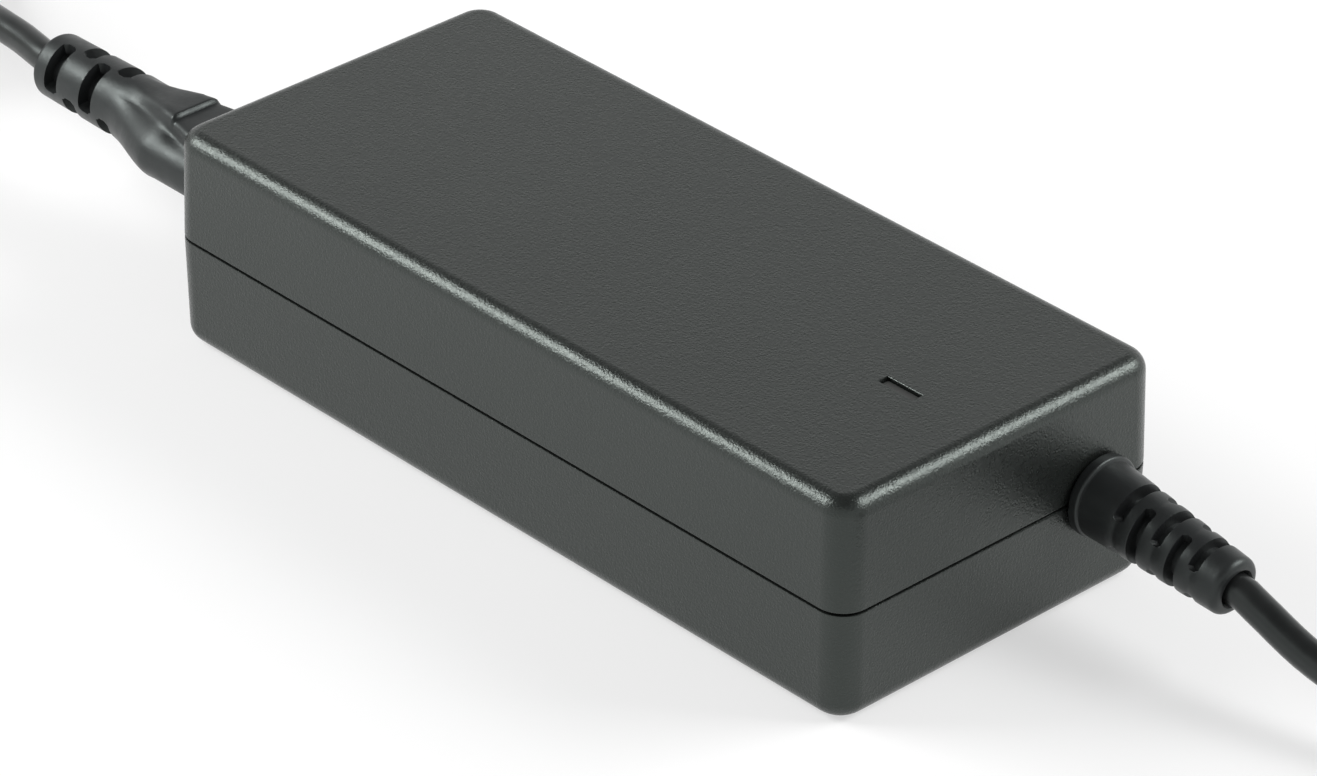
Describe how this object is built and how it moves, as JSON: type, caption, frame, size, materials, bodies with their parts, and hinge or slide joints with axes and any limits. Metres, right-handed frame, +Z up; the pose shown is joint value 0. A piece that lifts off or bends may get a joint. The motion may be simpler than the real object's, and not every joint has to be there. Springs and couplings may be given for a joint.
{
  "type": "laptop power adapter",
  "caption": "Rounded rectangular laptop power adapter with a captive low-voltage lead and a detachable mains lead, which turns mains current into low-voltage direct current.",
  "frame": {"origin": "centre of the case's bottom face, on the surface that it stands on", "axes": "+X along the case's length towards the low-voltage lead, +Y across the case away from the pictured side, +Z up"},
  "size_m": [0.4904, 0.0711, 0.0374],
  "materials": {
    "case_plastic": "fine textured matte",
    "lens": "clear",
    "cord_rubber": "satin",
    "tie_strap": "matte",
    "nickel": "nickel plated",
    "plated_brass": "polished",
    "component_black": "satin",
    "ferrite": "matt ferrite",
    "copper_wire": "enamelled",
    "aluminium": "mill finish",
    "screw_steel": "plated",
    "insulating_film": "film",
    "board_laminate": "lacquered",
    "ceramic_blue": "lacquered",
    "capacitor_yellow": "moulded",
    "spacer_cream": "moulded",
    "wire_brown": "insulated wire",
    "wire_blue": "insulated wire",
    "wire_green": "insulated wire",
    "wire_red": "insulated wire",
    "wire_black": "insulated wire"
  },
  "bodies": {
    "adapter": {"bottom_shell": "case_plastic", "top_shell": "case_plastic", "led_window": "lens", "led_indicator": "lens", "dc_strain_relief": "cord_rubber", "dc_cord": "cord_rubber", "dc_coil": "cord_rubber", "dc_plug_body": "cord_rubber", "dc_cord_tie": "tie_strap", "inlet_pin_live": "nickel", "inlet_pin_neutral": "nickel", "inlet_pin_earth": "nickel", "dc_plug_barrel": "nickel", "inlet_housing": "component_black", "fuse": "component_black", "bridge_rectifier": "component_black", "bulk_capacitor": "component_black", "power_transistor": "component_black", "transformer_bobbin": "component_black", "output_rectifier": "component_black", "optocoupler": "component_black", "control_chip": "component_black", "output_capacitor_1": "component_black", "output_capacitor_2": "component_black", "dc_plug_insulator": "component_black", "line_choke_core": "ferrite", "transformer_core": "ferrite", "output_choke_core": "ferrite", "line_choke_winding_live": "copper_wire", "line_choke_winding_neutral": "copper_wire", "transformer_winding": "copper_wire", "output_choke_winding": "copper_wire", "primary_heatsink": "aluminium", "secondary_heatsink": "aluminium", "heat_spreader": "aluminium", "primary_heatsink_screw": "screw_steel", "secondary_heatsink_screw": "screw_steel", "insulation_sheet": "insulating_film", "circuit_board": "board_laminate", "varistor": "ceramic_blue", "y_capacitor": "ceramic_blue", "x_capacitor": "capacitor_yellow", "led_spacer": "spacer_cream", "inlet_wire_live": "wire_brown", "inlet_wire_neutral": "wire_blue", "inlet_wire_earth": "wire_green", "dc_wire_positive": "wire_red", "dc_wire_negative": "wire_black"},
    "mains_lead": {"mains_connector": "cord_rubber", "connector_contact_live": "nickel", "connector_contact_neutral": "nickel", "connector_contact_earth": "nickel", "mains_cord": "cord_rubber", "mains_coil": "cord_rubber", "mains_cord_tie": "tie_strap", "mains_plug_body": "cord_rubber", "mains_blade_live": "plated_brass", "mains_blade_neutral": "plated_brass", "mains_earth_pin": "plated_brass"}
  },
  "joints": [
    {"name": "mains_lead_slide", "type": "slide", "parent": "adapter", "child": "mains_lead", "axis": [-1, 0, 0], "range_m": [0, 0.02]}
  ]
}
